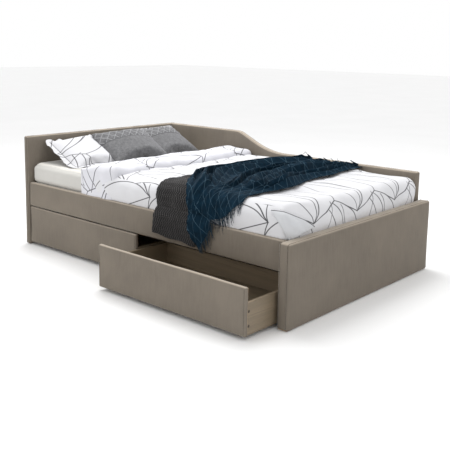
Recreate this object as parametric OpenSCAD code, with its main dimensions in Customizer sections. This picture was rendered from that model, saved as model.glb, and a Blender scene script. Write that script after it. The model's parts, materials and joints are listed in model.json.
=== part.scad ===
// Upholstered small double bed with a high curved back panel and two roll-out
// drawers under the mattress. +X runs from head to foot, +Y to the back panel,
// and the origin is on the floor under the middle of the mattress.

/* [Mattress] */
// Length of the mattress
mattress_l = 2000; // [1600:10:2400]
// Width of the mattress
mattress_w = 1200; // [1000:10:1440]
// Thickness of the mattress
mattress_h = 175; // [140:5:210]
// Free space at each end of the mattress
end_gap = 10; // [8:1:30]
// Free space at each side of the mattress
side_gap = 5; // [4:1:15]

/* [Headboard] */
// Height of the headboard above the floor
head_h = 695; // [580:5:900]
// Thickness of the padded headboard
head_t = 40; // [36:1:80]
// How far the headboard stands in front of the side rail
head_front_reach = 7; // [0:1:60]
// How far the headboard stands behind the back panel
head_back_reach = 2; // [0:1:60]

/* [Footboard] */
// Height of the footboard above the floor
foot_h = 412; // [340:1:500]
// Thickness of the padded footboard
foot_t = 68; // [55:1:90]
// How far the footboard stands in front of the side rail
foot_front_reach = 53; // [0:1:80]
// How far the footboard stands behind the back panel
foot_back_reach = 15; // [0:1:80]
// Width of the solid posts at the ends of the footboard
foot_post_w = 130; // [125:5:200]
// Height of the footboard's cross rails
foot_cross_h = 60; // [40:5:90]
// Thickness of the hardboard skins of the footboard
skin_t = 3; // [2:0.5:5]

/* [Back panel] */
// Thickness of the padded back panel
back_t = 50; // [42:1:80]
// Height of the raised part of the back panel
back_high = 695; // [640:5:840]
// Height of the low part of the back panel
back_low = 575; // [480:5:600]
// Length of the raised part, from the headboard to the start of the curve
back_high_l = 635; // [500:5:800]
// Radius of the curve's upper bend
curve_top_r = 145; // [115:5:175]
// Radius of the curve's lower bend
curve_foot_r = 600; // [480:10:720]
// Steepest angle of the curve
curve_angle = 24.7; // [22:0.1:30]

/* [Side rail] */
// Thickness of the padded side rail
rail_t = 40; // [36:1:60]
// Height of the rail's top above the floor
rail_top = 405; // [385:1:480]
// Height of the rail itself
rail_h = 150; // [125:1:150]

/* [Upholstery] */
// Thickness of the foam and fabric on a face
pad = 8; // [5:0.5:10]
// Rounding of the padded edges
edge_r = 7; // [4:0.5:7]

/* [Slatted base] */
// Height of the slats' top above the floor
slat_top = 350; // [345:1:390]
// Number of slats
slat_count = 14; // [10:1:18]
// Width of a slat
slat_w = 70; // [50:1:84]
// Thickness of a slat
slat_t = 18; // [12:1:22]
// Width of the ledges that carry the slats
ledge_w = 30; // [24:1:40]
// Height of the ledges
ledge_h = 30; // [20:1:32]
// Wall of the plastic slat holders
holder_t = 2.5; // [2:0.5:3]
// Length of a slat holder along its slat
holder_l = 36; // [28:1:50]
// Gap between a slat holder and the panel beside it
holder_gap = 2; // [1:0.5:4]
// Distance of the webbing straps from the middle of the bed
strap_y = 300; // [200:10:400]

/* [Centre support] */
// Width of the centre beam
beam_w = 40; // [30:1:60]
// Height of the centre beam
beam_h = 60; // [48:1:80]
// Distance between the centre legs
leg_pitch = 600; // [480:10:720]
// Radius of a centre leg
leg_r = 20; // [16:1:28]
// Height of the floor glides
glide_h = 4; // [3:1:8]
// Radius of the floor glides
glide_r = 15; // [10:1:16]

/* [Hardware] */
// Thickness of the steel brackets
steel_t = 3; // [2:0.5:4]
// Length of a corner bracket's arms
bracket_arm = 60; // [60:1:80]
// Height of a corner bracket
bracket_h = 40; // [30:1:40]
// Radius of the bracket bolts
bolt_r = 4; // [3:0.5:4]
// How deep bolts and screws go into a board
bolt_bite = 17; // [10:1:18]
// Radius of the wood screws
screw_r = 2.5; // [2:0.25:3]

/* [Drawers] */
// Height of the lower edge of the drawers above the floor
drawer_bottom = 20; // [16:1:26]
// Height of a drawer front
front_h = 228; // [190:1:230]
// Thickness of the board of a drawer front
front_board_t = 16; // [12:1:19]
// Padding around the edges of a drawer front
front_edge_pad = 6; // [5:0.5:10]
// Depth of a closed drawer from its face to its back
drawer_depth = 490; // [410:5:500]
// Gap between a drawer and the panel beside it
drawer_end_gap = 4; // [3:1:10]
// Gap between the two drawers
drawer_mid_gap = 6; // [4:1:20]
// How far a drawer's sides stand in from the ends of its front
side_inset = 10; // [6:1:30]
// Height of a drawer's sides and back
side_h = 150; // [125:1:180]
// Thickness of a drawer's sides and back
side_t = 15; // [12:1:18]
// Thickness of a drawer's bottom
bottom_t = 5; // [3:1:8]
// Depth of the groove that holds the bottom
groove = 4; // [2:0.5:4]
// Thickness of the battens under a drawer's bottom
batten_t = 12; // [10:1:16]
// Width of those battens
batten_w = 50; // [46:1:70]
// How far the foot drawer stands open at rest
foot_drawer_open = 265; // [0:5:450]

/* [Castors] */
// Radius of a castor wheel
wheel_r = 20; // [16:1:21]
// Width of a castor wheel
wheel_w = 14; // [10:1:18]
// Radius of a castor axle
axle_r = 3; // [2:0.5:4]
// Running clearance around an axle
axle_clearance = 0.05; // [0.02:0.01:0.1]
// Free space at each side of a wheel
wheel_gap = 1; // [0.5:0.5:3]
// Thickness of a castor bracket
castor_t = 2; // [1.5:0.5:3]
// Distance of a castor from the end of its drawer
castor_inset = 60; // [45:1:90]

/* [Bedding] */
// Thickness of the fitted sheet
sheet_t = 2; // [1:0.5:3]
// Thickness of the spread duvet
duvet_t = 21; // [15:1:30]
// Thickness of the duvet where it is folded back
fold_t = 27; // [20:1:40]
// Distance from the headboard end of the mattress to the duvet
duvet_start = 480; // [400:10:700]
// Length of the duvet that is folded back
fold_l = 330; // [200:10:420]
// How far the duvet hangs in front of the mattress
duvet_drop_t = 18; // [12:1:30]
// Thickness of the knitted throw
throw_t = 8; // [6:1:12]
// Thickness of the plaid blanket
blanket_t = 12; // [8:1:16]
// Thickness of a pillow
pillow_t = 95; // [70:5:110]
// Tilt of a pillow that leans on the headboard
pillow_tilt = 12; // [5:1:16]

/* [Hidden] */
$fn = 48;

// Overlap of a cutting tool past the face that it cuts
cut = 1;
// Air between soft pieces that lie on each other
air = 0.3;

// Planes of the bed's inside
half_l = mattress_l / 2 + end_gap;
half_w = mattress_w / 2 + side_gap;
front_y = -half_w - rail_t;
back_y = half_w + back_t;
panel_z = glide_h;

// End panels, from front to back
head_y0 = front_y - head_front_reach;
head_y1 = back_y + head_back_reach;
foot_y0 = front_y - foot_front_reach;
foot_y1 = back_y + foot_back_reach;

// Curve of the back panel: a bend, a straight slope and a longer bend
curve_x0 = -half_l + back_high_l;
bend_run = (curve_top_r + curve_foot_r) * sin(curve_angle);
bend_drop = (curve_top_r + curve_foot_r) * (1 - cos(curve_angle));
slope_run = (back_high - back_low - bend_drop) / tan(curve_angle);
curve_x1 = curve_x0 + bend_run + slope_run;
curve_steps = 12;

// Slatted base
slat_z = slat_top - slat_t;
ledge_z = slat_z - holder_t - ledge_h;
ledge_margin = 4;
slat_pitch = 2 * half_l / slat_count;
slat_half_l = half_w - holder_gap - holder_t;
holder_wall_h = 12;
strap_w = 25;
strap_t = 1.5;
beam_z = slat_z - beam_h;
leg_plate = 35;
leg_plate_t = 4;
rail_z = rail_top - rail_h;

// Corner brackets and bolts
bracket_z = ledge_z - bracket_h - 2;
bolt_near = 20;
bolt_far = 45;
bolt_head_r = 7;
bolt_head_h = 4;
bolt_l = steel_t + pad + bolt_bite;

// Wood screws
screw_head_r = 4.5;
screw_head_h = 2;
ledge_screw_count = 7;
ledge_screw_pitch = (2 * half_l - 240) / (ledge_screw_count - 1);
ledge_screw_z = ledge_z + ledge_h / 2;

// Beam hangers
hanger_l = 40;
hanger_wing = 22;
hanger_z = beam_z - steel_t;
hanger_h = beam_h * 0.8;
hanger_screw_y = beam_w / 2 + steel_t + hanger_wing / 2;
hanger_screw_z = [hanger_z + 10, hanger_z + hanger_h - 10];

// Stop rail behind the drawers
stop_t = 18;
stop_h = 70;
stop_z = 90;
stop_gap = 2;
stop_y = front_y + drawer_depth + stop_gap;
stop_arm = 30;
stop_screw = 19;
stop_screw_l = 14;

// Drawers, each drawn closed about its own middle and then put in place
drawer_w = half_l - drawer_end_gap - drawer_mid_gap / 2;
drawer_mid_x = drawer_mid_gap / 2 + drawer_w / 2;
front_t = front_board_t + pad;
body_y0 = front_y + front_t;
body_y1 = front_y + drawer_depth;
side_x = drawer_w / 2 - side_inset;
inner_x = side_x - side_t;
castor_z = wheel_r * 2 + 3 + castor_t;
bottom_z = castor_z + batten_t;
castor_x = inner_x - batten_w / 2;
castor_y = [body_y0 + castor_inset, body_y1 - side_t - castor_inset];
ear_x = wheel_w / 2 + wheel_gap;
ear_half = 11;
ear_low = 6;
castor_plate = 22;
axle_head_r = 5;
axle_head_t = 1.5;
hub_r = 8;
tread_round = 3;
rim_groove = 1.5;

// Drawer fixings
cam_r = 7;
cam_t = 10;
cam_in = 12;
cam_z = [drawer_bottom + 42, drawer_bottom + 110];
cam_bolt_r = 3;
cam_bolt_bite = 9;
back_screw_l = 40;
back_screw_z = [drawer_bottom + 65, drawer_bottom + 120];

// Bedding
sheet_z = slat_top + mattress_h + sheet_t;
mattress_r = 25;
sheet_hem = slat_top + 25;
duvet_x0 = -mattress_l / 2 + duvet_start;
duvet_x1 = half_l + 10;
duvet_y0 = -mattress_w / 2 - sheet_t - duvet_drop_t;
duvet_y1 = half_w - 2;
duvet_z0 = sheet_z + air;
duvet_z1 = duvet_z0 + duvet_t;
duvet_hem = max(rail_top, foot_h) + 2;
duvet_r = 9;
fold_z = duvet_z1 + air;
fold_r = 12;
head_x = -mattress_l / 2;
pillow_r = 30;
throw_z = duvet_z1 + air;
throw_y = front_y - 1 - throw_t;
blanket_z = throw_z + throw_t + air;
blanket_y = throw_y - air - blanket_t;
foot_x = mattress_l / 2;
white_front_y = [-mattress_w / 2 + 80, -mattress_w / 2 + 380];
pillow_gap = 8;
pillow_back_gap = 119;
grey_w = (half_w - pillow_back_gap - white_front_y[1] - 2 * pillow_gap) / 2;
grey_left_y = [white_front_y[1] + pillow_gap, white_front_y[1] + pillow_gap + grey_w];
grey_right_y = [grey_left_y[1] + pillow_gap, grey_left_y[1] + pillow_gap + grey_w];
white_back_y = [mattress_w / 2 - 400, mattress_w / 2 - 5];
white_back_t = 55;
white_back_h = 150;
white_back_r = 18;
throw_x = [foot_x - 865, foot_x - 545];
throw_hem = 282;
throw_back = -mattress_w / 2 + 480;
blanket_tip = 256;

// Rectangle with round corners, from its own corner
module round_rect(w, h, r) {
    translate([r, 0])
        square([w - 2 * r, h]);
    translate([0, r])
        square([w, h - 2 * r]);
    for (x = [r, w - r], y = [r, h - r])
        translate([x, y])
            circle(r);
}

// The same with round corners at the top only
module top_round_rect(w, h, r) {
    translate([r, 0])
        square([w - 2 * r, h]);
    square([w, h - r]);
    for (x = [r, w - r])
        translate([x, h - r])
            circle(r);
}

// Block with all its edges rounded, from its own corner
module round_block(size, r) {
    intersection() {
        linear_extrude(size[2])
            round_rect(size[0], size[1], r);
        translate([0, size[1], 0])
            rotate([90, 0, 0])
                linear_extrude(size[1])
                    round_rect(size[0], size[2], r);
        rotate([90, 0, 90])
            linear_extrude(size[0])
                round_rect(size[1], size[2], r);
    }
}

// Block with a flat foot and the other edges rounded, from its own corner
module standing_block(size, r) {
    intersection() {
        linear_extrude(size[2])
            round_rect(size[0], size[1], r);
        translate([0, size[1], 0])
            rotate([90, 0, 0])
                linear_extrude(size[1])
                    top_round_rect(size[0], size[2], r);
        rotate([90, 0, 90])
            linear_extrude(size[0])
                top_round_rect(size[1], size[2], r);
    }
}

// Children of one corner of the bed, copied to the corners of an end
module at_ends() {
    for (end = [-1, 1])
        scale_sign(end, 1)
            children();
}

module at_corners() {
    for (end = [-1, 1], side = [-1, 1])
        scale_sign(end, side)
            children();
}

// Mirror to the head and to the front where the sign is negative
module scale_sign(end, side) {
    mirror([end < 0 ? 1 : 0, 0, 0])
        mirror([0, side < 0 ? 1 : 0, 0])
            children();
}

// Cylinder along +X and along +Y
module rod_x(r, l) {
    rotate([0, 90, 0])
        cylinder(r = r, h = l);
}

module rod_y(r, l) {
    rotate([-90, 0, 0])
        cylinder(r = r, h = l);
}

// Outline of the back panel in X and Z, drawn in from its edges by a padding
function back_outline(inset, low) = concat(
    [[half_l - inset, low], [-half_l + inset, low],
     [-half_l + inset, back_high - inset]],
    [for (i = [0 : curve_steps])
        let (a = curve_angle * i / curve_steps)
        [curve_x0 + (curve_top_r - inset) * sin(a),
         back_high - curve_top_r + (curve_top_r - inset) * cos(a)]],
    [for (i = [0 : curve_steps])
        let (a = curve_angle * (1 - i / curve_steps))
        [curve_x1 - (curve_foot_r + inset) * sin(a),
         back_low + curve_foot_r - (curve_foot_r + inset) * cos(a)]],
    [[half_l - inset, back_low - inset]]);

module back_slab(inset, low, y0, thickness) {
    translate([0, y0 + thickness, 0])
        rotate([90, 0, 0])
            linear_extrude(thickness)
                polygon(back_outline(inset, low));
}

// Board inside an end panel, and its padded cover
module end_board(x0, y0, y1, t, h) {
    translate([x0 + pad, y0 + pad, panel_z])
        cube([t - 2 * pad, y1 - y0 - 2 * pad, h - panel_z - pad]);
}

module end_cover(x0, y0, y1, t, h) {
    difference() {
        translate([x0, y0, panel_z])
            standing_block([t, y1 - y0, h - panel_z], edge_r);
        translate([x0 + pad, y0 + pad, panel_z - cut])
            cube([t - 2 * pad, y1 - y0 - 2 * pad, h - panel_z - pad + cut]);
        bolt_shanks();
        screw_shanks();
    }
}

// Shanks of the bolts at the four corners, which also cut their own holes
module bolt_shanks() {
    at_corners()
        for (d = [bolt_near, bolt_far]) {
            translate([half_l - steel_t, half_w - d, bracket_z + bracket_h / 2])
                rod_x(bolt_r, bolt_l);
            translate([half_l - d, half_w - steel_t, bracket_z + bracket_h / 2])
                rod_y(bolt_r, bolt_l);
        }
}

module bolt_heads() {
    at_corners()
        for (d = [bolt_near, bolt_far]) {
            translate([half_l - steel_t - bolt_head_h, half_w - d, bracket_z + bracket_h / 2])
                rod_x(bolt_head_r, bolt_head_h);
            translate([half_l - d, half_w - steel_t - bolt_head_h, bracket_z + bracket_h / 2])
                rod_y(bolt_head_r, bolt_head_h);
        }
}

// Shanks of the screws in the ledges, the beam hangers and the stop rail
module screw_shanks() {
    for (side = [-1, 1])
        scale_sign(1, side)
            for (i = [0 : ledge_screw_count - 1])
                translate([(i - (ledge_screw_count - 1) / 2) * ledge_screw_pitch,
                           half_w - ledge_w, ledge_screw_z])
                    rod_y(screw_r, ledge_w + pad + bolt_bite);
    at_ends()
        for (side = [-1, 1], z = hanger_screw_z)
            translate([half_l - steel_t, side * hanger_screw_y, z])
                rod_x(screw_r, steel_t + pad + bolt_bite);
    at_ends()
        translate([half_l - steel_t, stop_y + stop_t + stop_screw, stop_z + stop_h / 2])
            rod_x(screw_r, steel_t + pad + bolt_bite);
    at_ends()
        translate([half_l - stop_screw, stop_y + stop_t + steel_t - stop_screw_l,
                   stop_z + stop_h / 2])
            rod_y(screw_r, stop_screw_l);
}

module screw_heads() {
    for (side = [-1, 1])
        scale_sign(1, side)
            for (i = [0 : ledge_screw_count - 1])
                translate([(i - (ledge_screw_count - 1) / 2) * ledge_screw_pitch,
                           half_w - ledge_w - screw_head_h, ledge_screw_z])
                    rod_y(screw_head_r, screw_head_h);
    at_ends()
        for (side = [-1, 1], z = hanger_screw_z)
            translate([half_l - steel_t - screw_head_h, side * hanger_screw_y, z])
                rod_x(screw_head_r, screw_head_h);
    at_ends()
        translate([half_l - steel_t - screw_head_h, stop_y + stop_t + stop_screw,
                   stop_z + stop_h / 2])
            rod_x(screw_head_r, screw_head_h);
    at_ends()
        translate([half_l - stop_screw, stop_y + stop_t + steel_t, stop_z + stop_h / 2])
            rod_y(screw_head_r, screw_head_h);
}

module headboard_board() {
    color("burlywood")
        difference() {
            end_board(-half_l - head_t, head_y0, head_y1, head_t, head_h);
            bolt_shanks();
            screw_shanks();
        }
}

module headboard_cover() {
    color("#8c8276")
        end_cover(-half_l - head_t, head_y0, head_y1, head_t, head_h);
}

// Posts, cross rails and a middle post between the two skins
module footboard_frame() {
    x0 = half_l + pad + skin_t;
    t = foot_t - 2 * (pad + skin_t);
    y0 = foot_y0 + pad;
    y1 = foot_y1 - pad;
    h = foot_h - pad - panel_z;
    color("burlywood")
        difference() {
            translate([x0, y0, panel_z])
                cube([t, y1 - y0, h]);
            for (bay = [[y0 + foot_post_w, -foot_post_w / 2], [foot_post_w / 2, y1 - foot_post_w]])
                translate([x0 - cut, bay[0], panel_z + foot_cross_h])
                    cube([t + 2 * cut, bay[1] - bay[0], h - 2 * foot_cross_h]);
            bolt_shanks();
            screw_shanks();
        }
}

module footboard_skins() {
    color("peru")
        difference() {
            for (x = [half_l + pad, half_l + foot_t - pad - skin_t])
                translate([x, foot_y0 + pad, panel_z])
                    cube([skin_t, foot_y1 - foot_y0 - 2 * pad, foot_h - pad - panel_z]);
            bolt_shanks();
            screw_shanks();
        }
}

module footboard_cover() {
    color("#8c8276")
        end_cover(half_l, foot_y0, foot_y1, foot_t, foot_h);
}

module back_panel_board() {
    color("burlywood")
        difference() {
            back_slab(pad, panel_z, half_w + pad, back_t - 2 * pad);
            bolt_shanks();
            screw_shanks();
        }
}

module back_panel_cover() {
    color("#8c8276")
        difference() {
            back_slab(0, panel_z, half_w, back_t);
            back_slab(pad, panel_z - cut, half_w + pad, back_t - 2 * pad);
            bolt_shanks();
            screw_shanks();
        }
}

module side_rail_board() {
    color("burlywood")
        difference() {
            translate([-half_l + pad, front_y + pad, rail_z])
                cube([2 * (half_l - pad), rail_t - 2 * pad, rail_h - pad]);
            bolt_shanks();
            screw_shanks();
        }
}

module side_rail_cover() {
    color("#8c8276")
        difference() {
            translate([-half_l, front_y, rail_z])
                standing_block([2 * half_l, rail_t, rail_h], edge_r);
            translate([-half_l + pad, front_y + pad, rail_z - cut])
                cube([2 * (half_l - pad), rail_t - 2 * pad, rail_h - pad + cut]);
            bolt_shanks();
            screw_shanks();
        }
}

module corner_brackets() {
    color("silver")
        difference() {
            union() {
                at_corners()
                    translate([half_l, half_w, bracket_z])
                        mirror([1, 0, 0])
                            mirror([0, 1, 0])
                                angle_plate(bracket_arm, bracket_h);
                at_ends()
                    translate([half_l, stop_y + stop_t, stop_z + (stop_h - stop_arm) / 2])
                        mirror([1, 0, 0])
                            angle_plate(stop_arm, stop_arm);
            }
            bolt_shanks();
            screw_shanks();
        }
}

// Steel angle with its outer corner on the Z axis
module angle_plate(arm, h) {
    cube([arm, steel_t, h]);
    cube([steel_t, arm, h]);
}

module bracket_bolts() {
    color("dimgray") {
        bolt_shanks();
        bolt_heads();
    }
}

module slat_ledges() {
    color("burlywood")
        difference() {
            for (y = [-half_w, half_w - ledge_w])
                translate([-half_l + ledge_margin, y, ledge_z])
                    cube([2 * (half_l - ledge_margin), ledge_w, ledge_h]);
            screw_shanks();
        }
}

module frame_screws() {
    color("goldenrod") {
        screw_shanks();
        screw_heads();
    }
}

module centre_beam() {
    color("burlywood")
        translate([-half_l + steel_t, -beam_w / 2, beam_z])
            cube([2 * (half_l - steel_t), beam_w, beam_h]);
}

module beam_hangers() {
    shoe_w = beam_w + 2 * steel_t;
    color("silver")
        difference() {
            at_ends() {
                translate([half_l - steel_t, -shoe_w / 2 - hanger_wing, hanger_z])
                    cube([steel_t, shoe_w + 2 * hanger_wing, hanger_h]);
                translate([half_l - hanger_l, -shoe_w / 2, hanger_z])
                    cube([hanger_l, shoe_w, hanger_h]);
            }
            translate([-half_l + steel_t, -beam_w / 2, beam_z])
                cube([2 * (half_l - steel_t), beam_w, beam_h]);
            screw_shanks();
        }
}

module centre_legs() {
    color("dimgray")
        for (x = [-leg_pitch, 0, leg_pitch])
            translate([x, 0, 0]) {
                translate([0, 0, glide_h])
                    cylinder(r = leg_r, h = beam_z - glide_h);
                translate([-leg_plate, -beam_w / 2, beam_z - leg_plate_t])
                    cube([2 * leg_plate, beam_w, leg_plate_t]);
            }
}

// Glides under the centre legs, the end panels and the back panel
module floor_glides() {
    end_y = half_w - 60;
    spots = [[-leg_pitch, 0], [0, 0], [leg_pitch, 0],
             [-half_l - head_t / 2, -end_y], [-half_l - head_t / 2, end_y],
             [half_l + foot_t / 2, -end_y], [half_l + foot_t / 2, end_y],
             [-half_l / 2, half_w + back_t / 2], [half_l / 2, half_w + back_t / 2]];
    color("black")
        for (spot = spots)
            translate([spot[0], spot[1], 0])
                cylinder(r = glide_r, h = glide_h);
}

module slats() {
    color("wheat")
        for (i = [0 : slat_count - 1])
            translate([-half_l + (i + 0.5) * slat_pitch - slat_w / 2, -slat_half_l, slat_z])
                cube([slat_w, 2 * slat_half_l, slat_t]);
}

// Plastic shoes, open at the top, that hold the ends of the slats
module slat_holders() {
    color("black")
        for (side = [-1, 1], i = [0 : slat_count - 1])
            scale_sign(1, side)
                translate([-half_l + (i + 0.5) * slat_pitch, 0, 0])
                    difference() {
                        translate([-slat_w / 2 - holder_t, half_w - holder_gap - holder_l,
                                   slat_z - holder_t])
                            cube([slat_w + 2 * holder_t, holder_l, holder_t + holder_wall_h]);
                        translate([-slat_w / 2, 0, slat_z])
                            cube([slat_w, slat_half_l, slat_t]);
                    }
}

module slat_straps() {
    color("white")
        for (y = [-strap_y, strap_y])
            translate([-half_l + slat_pitch / 4, y - strap_w / 2, slat_z - strap_t])
                cube([2 * half_l - slat_pitch / 2, strap_w, strap_t]);
}

module drawer_stop_rail() {
    color("burlywood")
        difference() {
            translate([-half_l, stop_y, stop_z])
                cube([2 * half_l, stop_t, stop_h]);
            screw_shanks();
        }
}

module mattress() {
    color("ivory")
        translate([head_x, -mattress_w / 2, slat_top])
            round_block([mattress_l, mattress_w, mattress_h], mattress_r);
}

module fitted_sheet() {
    color("white")
        difference() {
            translate([head_x - sheet_t, -mattress_w / 2 - sheet_t, slat_top - sheet_t])
                round_block([mattress_l + 2 * sheet_t, mattress_w + 2 * sheet_t,
                             mattress_h + 2 * sheet_t], mattress_r + sheet_t);
            translate([head_x, -mattress_w / 2, slat_top])
                round_block([mattress_l, mattress_w, mattress_h], mattress_r);
            translate([head_x - 2 * sheet_t, -mattress_w / 2 - 2 * sheet_t, slat_top - 2 * sheet_t])
                cube([mattress_l + 4 * sheet_t, mattress_w + 4 * sheet_t,
                      sheet_hem - slat_top + 2 * sheet_t]);
        }
}

// Spread part of the duvet, which hangs over the front and the foot
module duvet() {
    color("white")
        difference() {
            translate([duvet_x0, duvet_y0, duvet_hem])
                standing_block([duvet_x1 - duvet_x0, duvet_y1 - duvet_y0, duvet_z1 - duvet_hem],
                               duvet_r);
            translate([duvet_x0 - cut, -mattress_w / 2 - sheet_t - air, duvet_hem - cut])
                cube([mattress_l / 2 + sheet_t + air - duvet_x0 + cut, mattress_w * 2,
                      duvet_z0 - duvet_hem + cut]);
        }
}

module duvet_fold() {
    color("whitesmoke")
        translate([duvet_x0 - 10, duvet_y0, fold_z])
            round_block([fold_l, duvet_y1 - duvet_y0, fold_t], fold_r);
}

// Pillow that lies between two distances from the middle, tilted up to the headboard
module leaning_pillow(y, x0, x1, low) {
    translate([x1, y[0], low])
        rotate([0, pillow_tilt, 0])
            translate([x0 - x1, 0, 0])
                round_block([x1 - x0, y[1] - y[0], pillow_t], pillow_r);
}

module white_pillow_front() {
    color("white")
        leaning_pillow(white_front_y, head_x + 25, head_x + 440, sheet_z + air);
}

module grey_pillow_left() {
    color("gray")
        leaning_pillow(grey_left_y, head_x + 90, head_x + 420, sheet_z + air);
}

module grey_pillow_right() {
    color("gray")
        leaning_pillow(grey_right_y, head_x + 90, head_x + 420, sheet_z + air);
}

// Pillow that stands against the headboard
module white_pillow_back() {
    color("white")
        translate([head_x, white_back_y[0], sheet_z + air])
            round_block([white_back_t, white_back_y[1] - white_back_y[0], white_back_h],
                        white_back_r);
}

// Throw that lies on the duvet and falls down the front in one band
module knitted_throw() {
    color("#3a3a3e")
        translate([throw_x[0], 0, 0])
            rotate([90, 0, 90])
                linear_extrude(throw_x[1] - throw_x[0])
                    polygon([[throw_y, throw_hem], [throw_y + throw_t, throw_hem],
                             [throw_y + throw_t, rail_top + 2],
                             [duvet_y0 - 1, rail_top + 12],
                             [duvet_y0 - 1, throw_z], [throw_back, throw_z],
                             [throw_back, throw_z + throw_t],
                             [duvet_y0 - 1 - throw_t, throw_z + throw_t],
                             [duvet_y0 - 1 - throw_t, rail_top + 12 + throw_t],
                             [throw_y, rail_top + 2 + throw_t]]);
}

// Blanket that crosses the bed and ends in a corner in front of the rail
module plaid_blanket() {
    color("#1f3a48") {
        translate([0, 0, blanket_z])
            linear_extrude(blanket_t)
                polygon([[foot_x - 600, blanket_y], [foot_x - 880, -mattress_w / 2 + 330],
                         [foot_x - 930, 0], [foot_x - 800, mattress_w / 2 - 200],
                         [foot_x - 800, half_w - 2], [foot_x - 330, half_w - 2],
                         [foot_x - 260, 0], [foot_x - 230, -mattress_w / 2 + 320],
                         [foot_x - 400, blanket_y]]);
        translate([0, blanket_y + blanket_t, 0])
            rotate([90, 0, 0])
                linear_extrude(blanket_t)
                    polygon([[foot_x - 600, blanket_z + blanket_t],
                             [foot_x - 600, rail_top - 40],
                             [foot_x - 506, blanket_tip],
                             [foot_x - 440, rail_top - 40],
                             [foot_x - 400, blanket_z + blanket_t]]);
    }
}

// Puts a drawer's own shape in the head bay or, partly open, in the foot bay
module at_head_drawer() {
    translate([-drawer_mid_x, 0, 0])
        children();
}

module at_foot_drawer() {
    translate([drawer_mid_x, -foot_drawer_open, 0])
        children();
}

module front_cavity(grow) {
    translate([-drawer_w / 2 + front_edge_pad, front_y + pad, drawer_bottom + front_edge_pad])
        cube([drawer_w - 2 * front_edge_pad, front_board_t + grow, front_h - 2 * front_edge_pad]);
}

// Bottom of a drawer, which also cuts its own groove
module bottom_sheet() {
    translate([-inner_x - groove, body_y0 - groove, bottom_z])
        cube([2 * (inner_x + groove), body_y1 - side_t - body_y0 + 2 * groove, bottom_t]);
}

// Cam locks at the front and screws at the back, which also cut their own holes
module drawer_hardware() {
    for (side = [-1, 1])
        scale_sign(side, 1) {
            for (z = cam_z) {
                translate([side_x - cam_t, body_y0 + cam_in, z])
                    rod_x(cam_r, cam_t);
                translate([side_x - side_t / 2, body_y0 - cam_bolt_bite, z])
                    rod_y(cam_bolt_r, cam_bolt_bite + cam_in);
            }
            for (z = back_screw_z) {
                translate([side_x - back_screw_l, body_y1 - side_t / 2, z])
                    rod_x(screw_r, back_screw_l);
                translate([side_x - screw_head_h, body_y1 - side_t / 2, z])
                    rod_x(screw_head_r, screw_head_h);
            }
        }
}

module drawer_front_board() {
    color("tan")
        difference() {
            front_cavity(0);
            bottom_sheet();
            drawer_hardware();
        }
}

module drawer_front_cover() {
    color("#8c8276")
        difference() {
            translate([-drawer_w / 2, front_y, drawer_bottom])
                intersection() {
                    round_block([drawer_w, front_t + 2 * edge_r, front_h], edge_r);
                    cube([drawer_w, front_t, front_h]);
                }
            front_cavity(cut);
        }
}

module drawer_side(side) {
    color("#c9b391")
        difference() {
            scale_sign(side, 1)
                translate([inner_x, body_y0, drawer_bottom])
                    cube([side_t, body_y1 - body_y0, side_h]);
            bottom_sheet();
            drawer_hardware();
        }
}

module drawer_back() {
    color("#c9b391")
        difference() {
            translate([-inner_x, body_y1 - side_t, drawer_bottom])
                cube([2 * inner_x, side_t, side_h]);
            bottom_sheet();
            drawer_hardware();
        }
}

module drawer_bottom_panel() {
    color("#d8c7a6")
        bottom_sheet();
}

module drawer_battens() {
    color("burlywood")
        for (side = [-1, 1])
            scale_sign(side, 1)
                translate([inner_x - batten_w, body_y0, bottom_z - batten_t])
                    cube([batten_w, body_y1 - side_t - body_y0, batten_t]);
}

module drawer_fixings() {
    color("#4a4038")
        drawer_hardware();
}

// Children at each of the four castors of a drawer
module at_castors() {
    for (side = [-1, 1], y = castor_y)
        translate([side * castor_x, y, 0])
            children();
}

// Plate with two ears that hold the axle
module drawer_castor_brackets() {
    color("silver")
        at_castors()
            difference() {
                union() {
                    translate([-castor_plate, -castor_plate, castor_z - castor_t])
                        cube([2 * castor_plate, 2 * castor_plate, castor_t]);
                    for (x = [-ear_x - castor_t, ear_x])
                        translate([x, -ear_half, wheel_r - ear_low])
                            cube([castor_t, 2 * ear_half, castor_z - wheel_r + ear_low]);
                }
                translate([-ear_x - 2 * castor_t, 0, wheel_r])
                    rod_x(axle_r, 2 * ear_x + 4 * castor_t);
            }
}

module drawer_castor_axles() {
    reach = ear_x + castor_t;
    color("dimgray")
        at_castors() {
            translate([-reach, 0, wheel_r])
                rod_x(axle_r, 2 * reach);
            for (x = [-reach - axle_head_t, reach])
                translate([x, 0, wheel_r])
                    rod_x(axle_head_r, axle_head_t);
        }
}

// One castor wheel: side is -1 or 1, place is 0 at the front and 1 at the back
module drawer_wheel(side, place) {
    color("black")
        translate([side * castor_x, castor_y[place], wheel_r])
            rotate([0, 90, 0])
                rotate_extrude()
                    wheel_section();
}

// Half section of a wheel, with a hub, a thin web and a rounded tread
module wheel_section() {
    web_r = wheel_r - tread_round - rim_groove;
    hole_r = axle_r + axle_clearance;
    translate([hole_r, -wheel_w / 2])
        square([hub_r - hole_r, wheel_w]);
    translate([hub_r - cut, -wheel_w / 4])
        square([web_r - hub_r + 2 * cut, wheel_w / 2]);
    translate([web_r, -wheel_w / 2])
        square([wheel_r - tread_round - web_r, wheel_w]);
    translate([wheel_r - tread_round - cut, -wheel_w / 2 + tread_round])
        square([tread_round + cut, wheel_w - 2 * tread_round]);
    for (y = [-1, 1])
        translate([wheel_r - tread_round, y * (wheel_w / 2 - tread_round)])
            circle(tread_round);
}

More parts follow.
